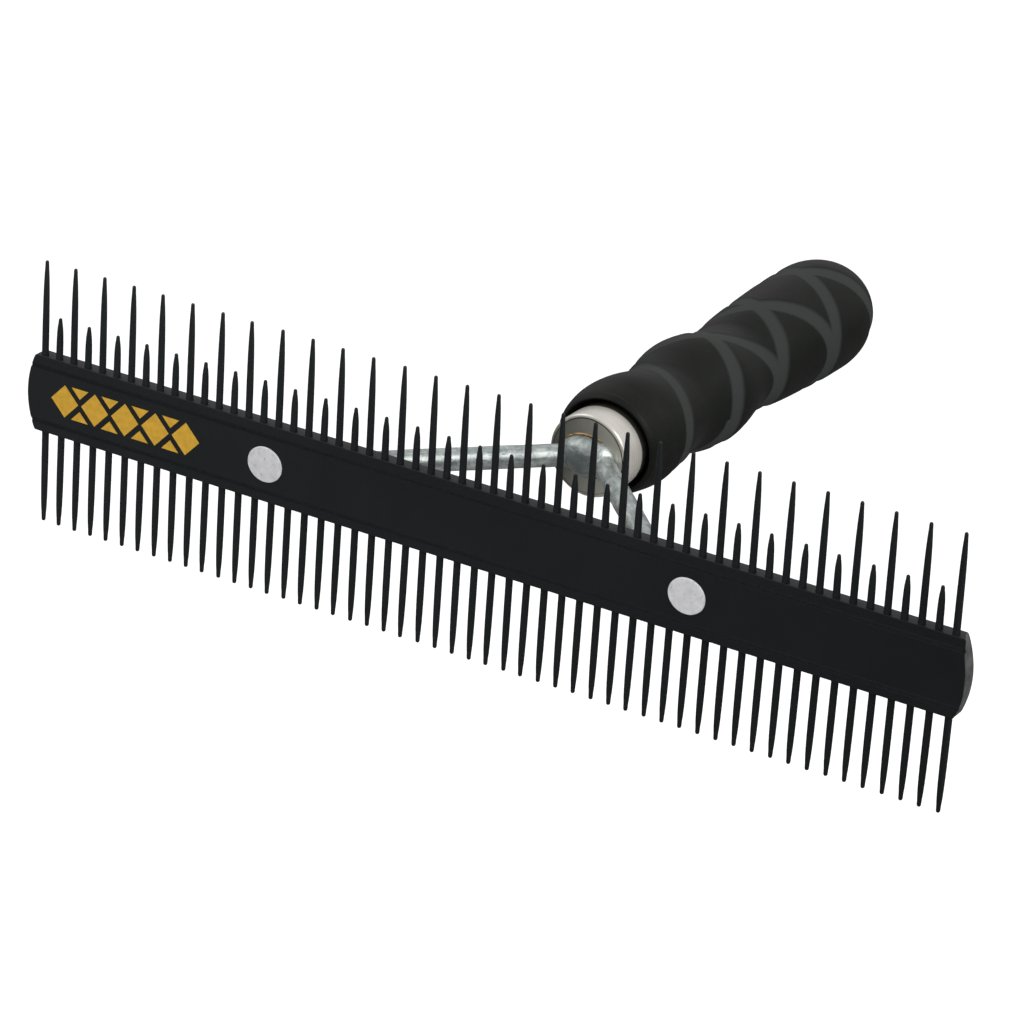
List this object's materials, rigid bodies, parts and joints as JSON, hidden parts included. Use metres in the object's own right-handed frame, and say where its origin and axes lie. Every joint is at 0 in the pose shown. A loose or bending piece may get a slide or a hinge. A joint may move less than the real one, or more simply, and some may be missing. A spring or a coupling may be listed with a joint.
{
  "type": "two-sided grooming comb",
  "caption": "Cast two-sided grooming comb with mixed-length and even tooth rows, riveted to a V-shaped rod yoke with a rubber-gripped handle.",
  "frame": {"origin": "centre of the flat front panel of the comb bar", "axes": "+X along the comb, +Y from the bar back along the handle, +Z towards the row of long and short teeth"},
  "size_m": [0.2302, 0.1649, 0.0618],
  "materials": {
    "coated_casting": "matte black non-stick coating with fine grain",
    "gold_print": "satin gold ink",
    "rivet_metal": "satin, lightly mottled",
    "zinc_rod": "bluish zinc plating, mottled",
    "braze": "dull gold",
    "ferrule_nickel": "bright nickel",
    "core_wood": "plain turned wood",
    "grip_rubber": "matte black rubber with smooth grooves"
  },
  "bodies": {
    "root": {"comb_casting": "coated_casting", "left_rivet": "rivet_metal", "right_rivet": "rivet_metal", "yoke_left_leg": "zinc_rod", "yoke_right_leg": "zinc_rod", "yoke_hub_and_tang": "zinc_rod", "upper_braze_fillet": "braze", "lower_braze_fillet": "braze", "ferrule": "ferrule_nickel", "handle_core": "core_wood", "rubber_grip": "grip_rubber"}
  },
  "joints": []
}
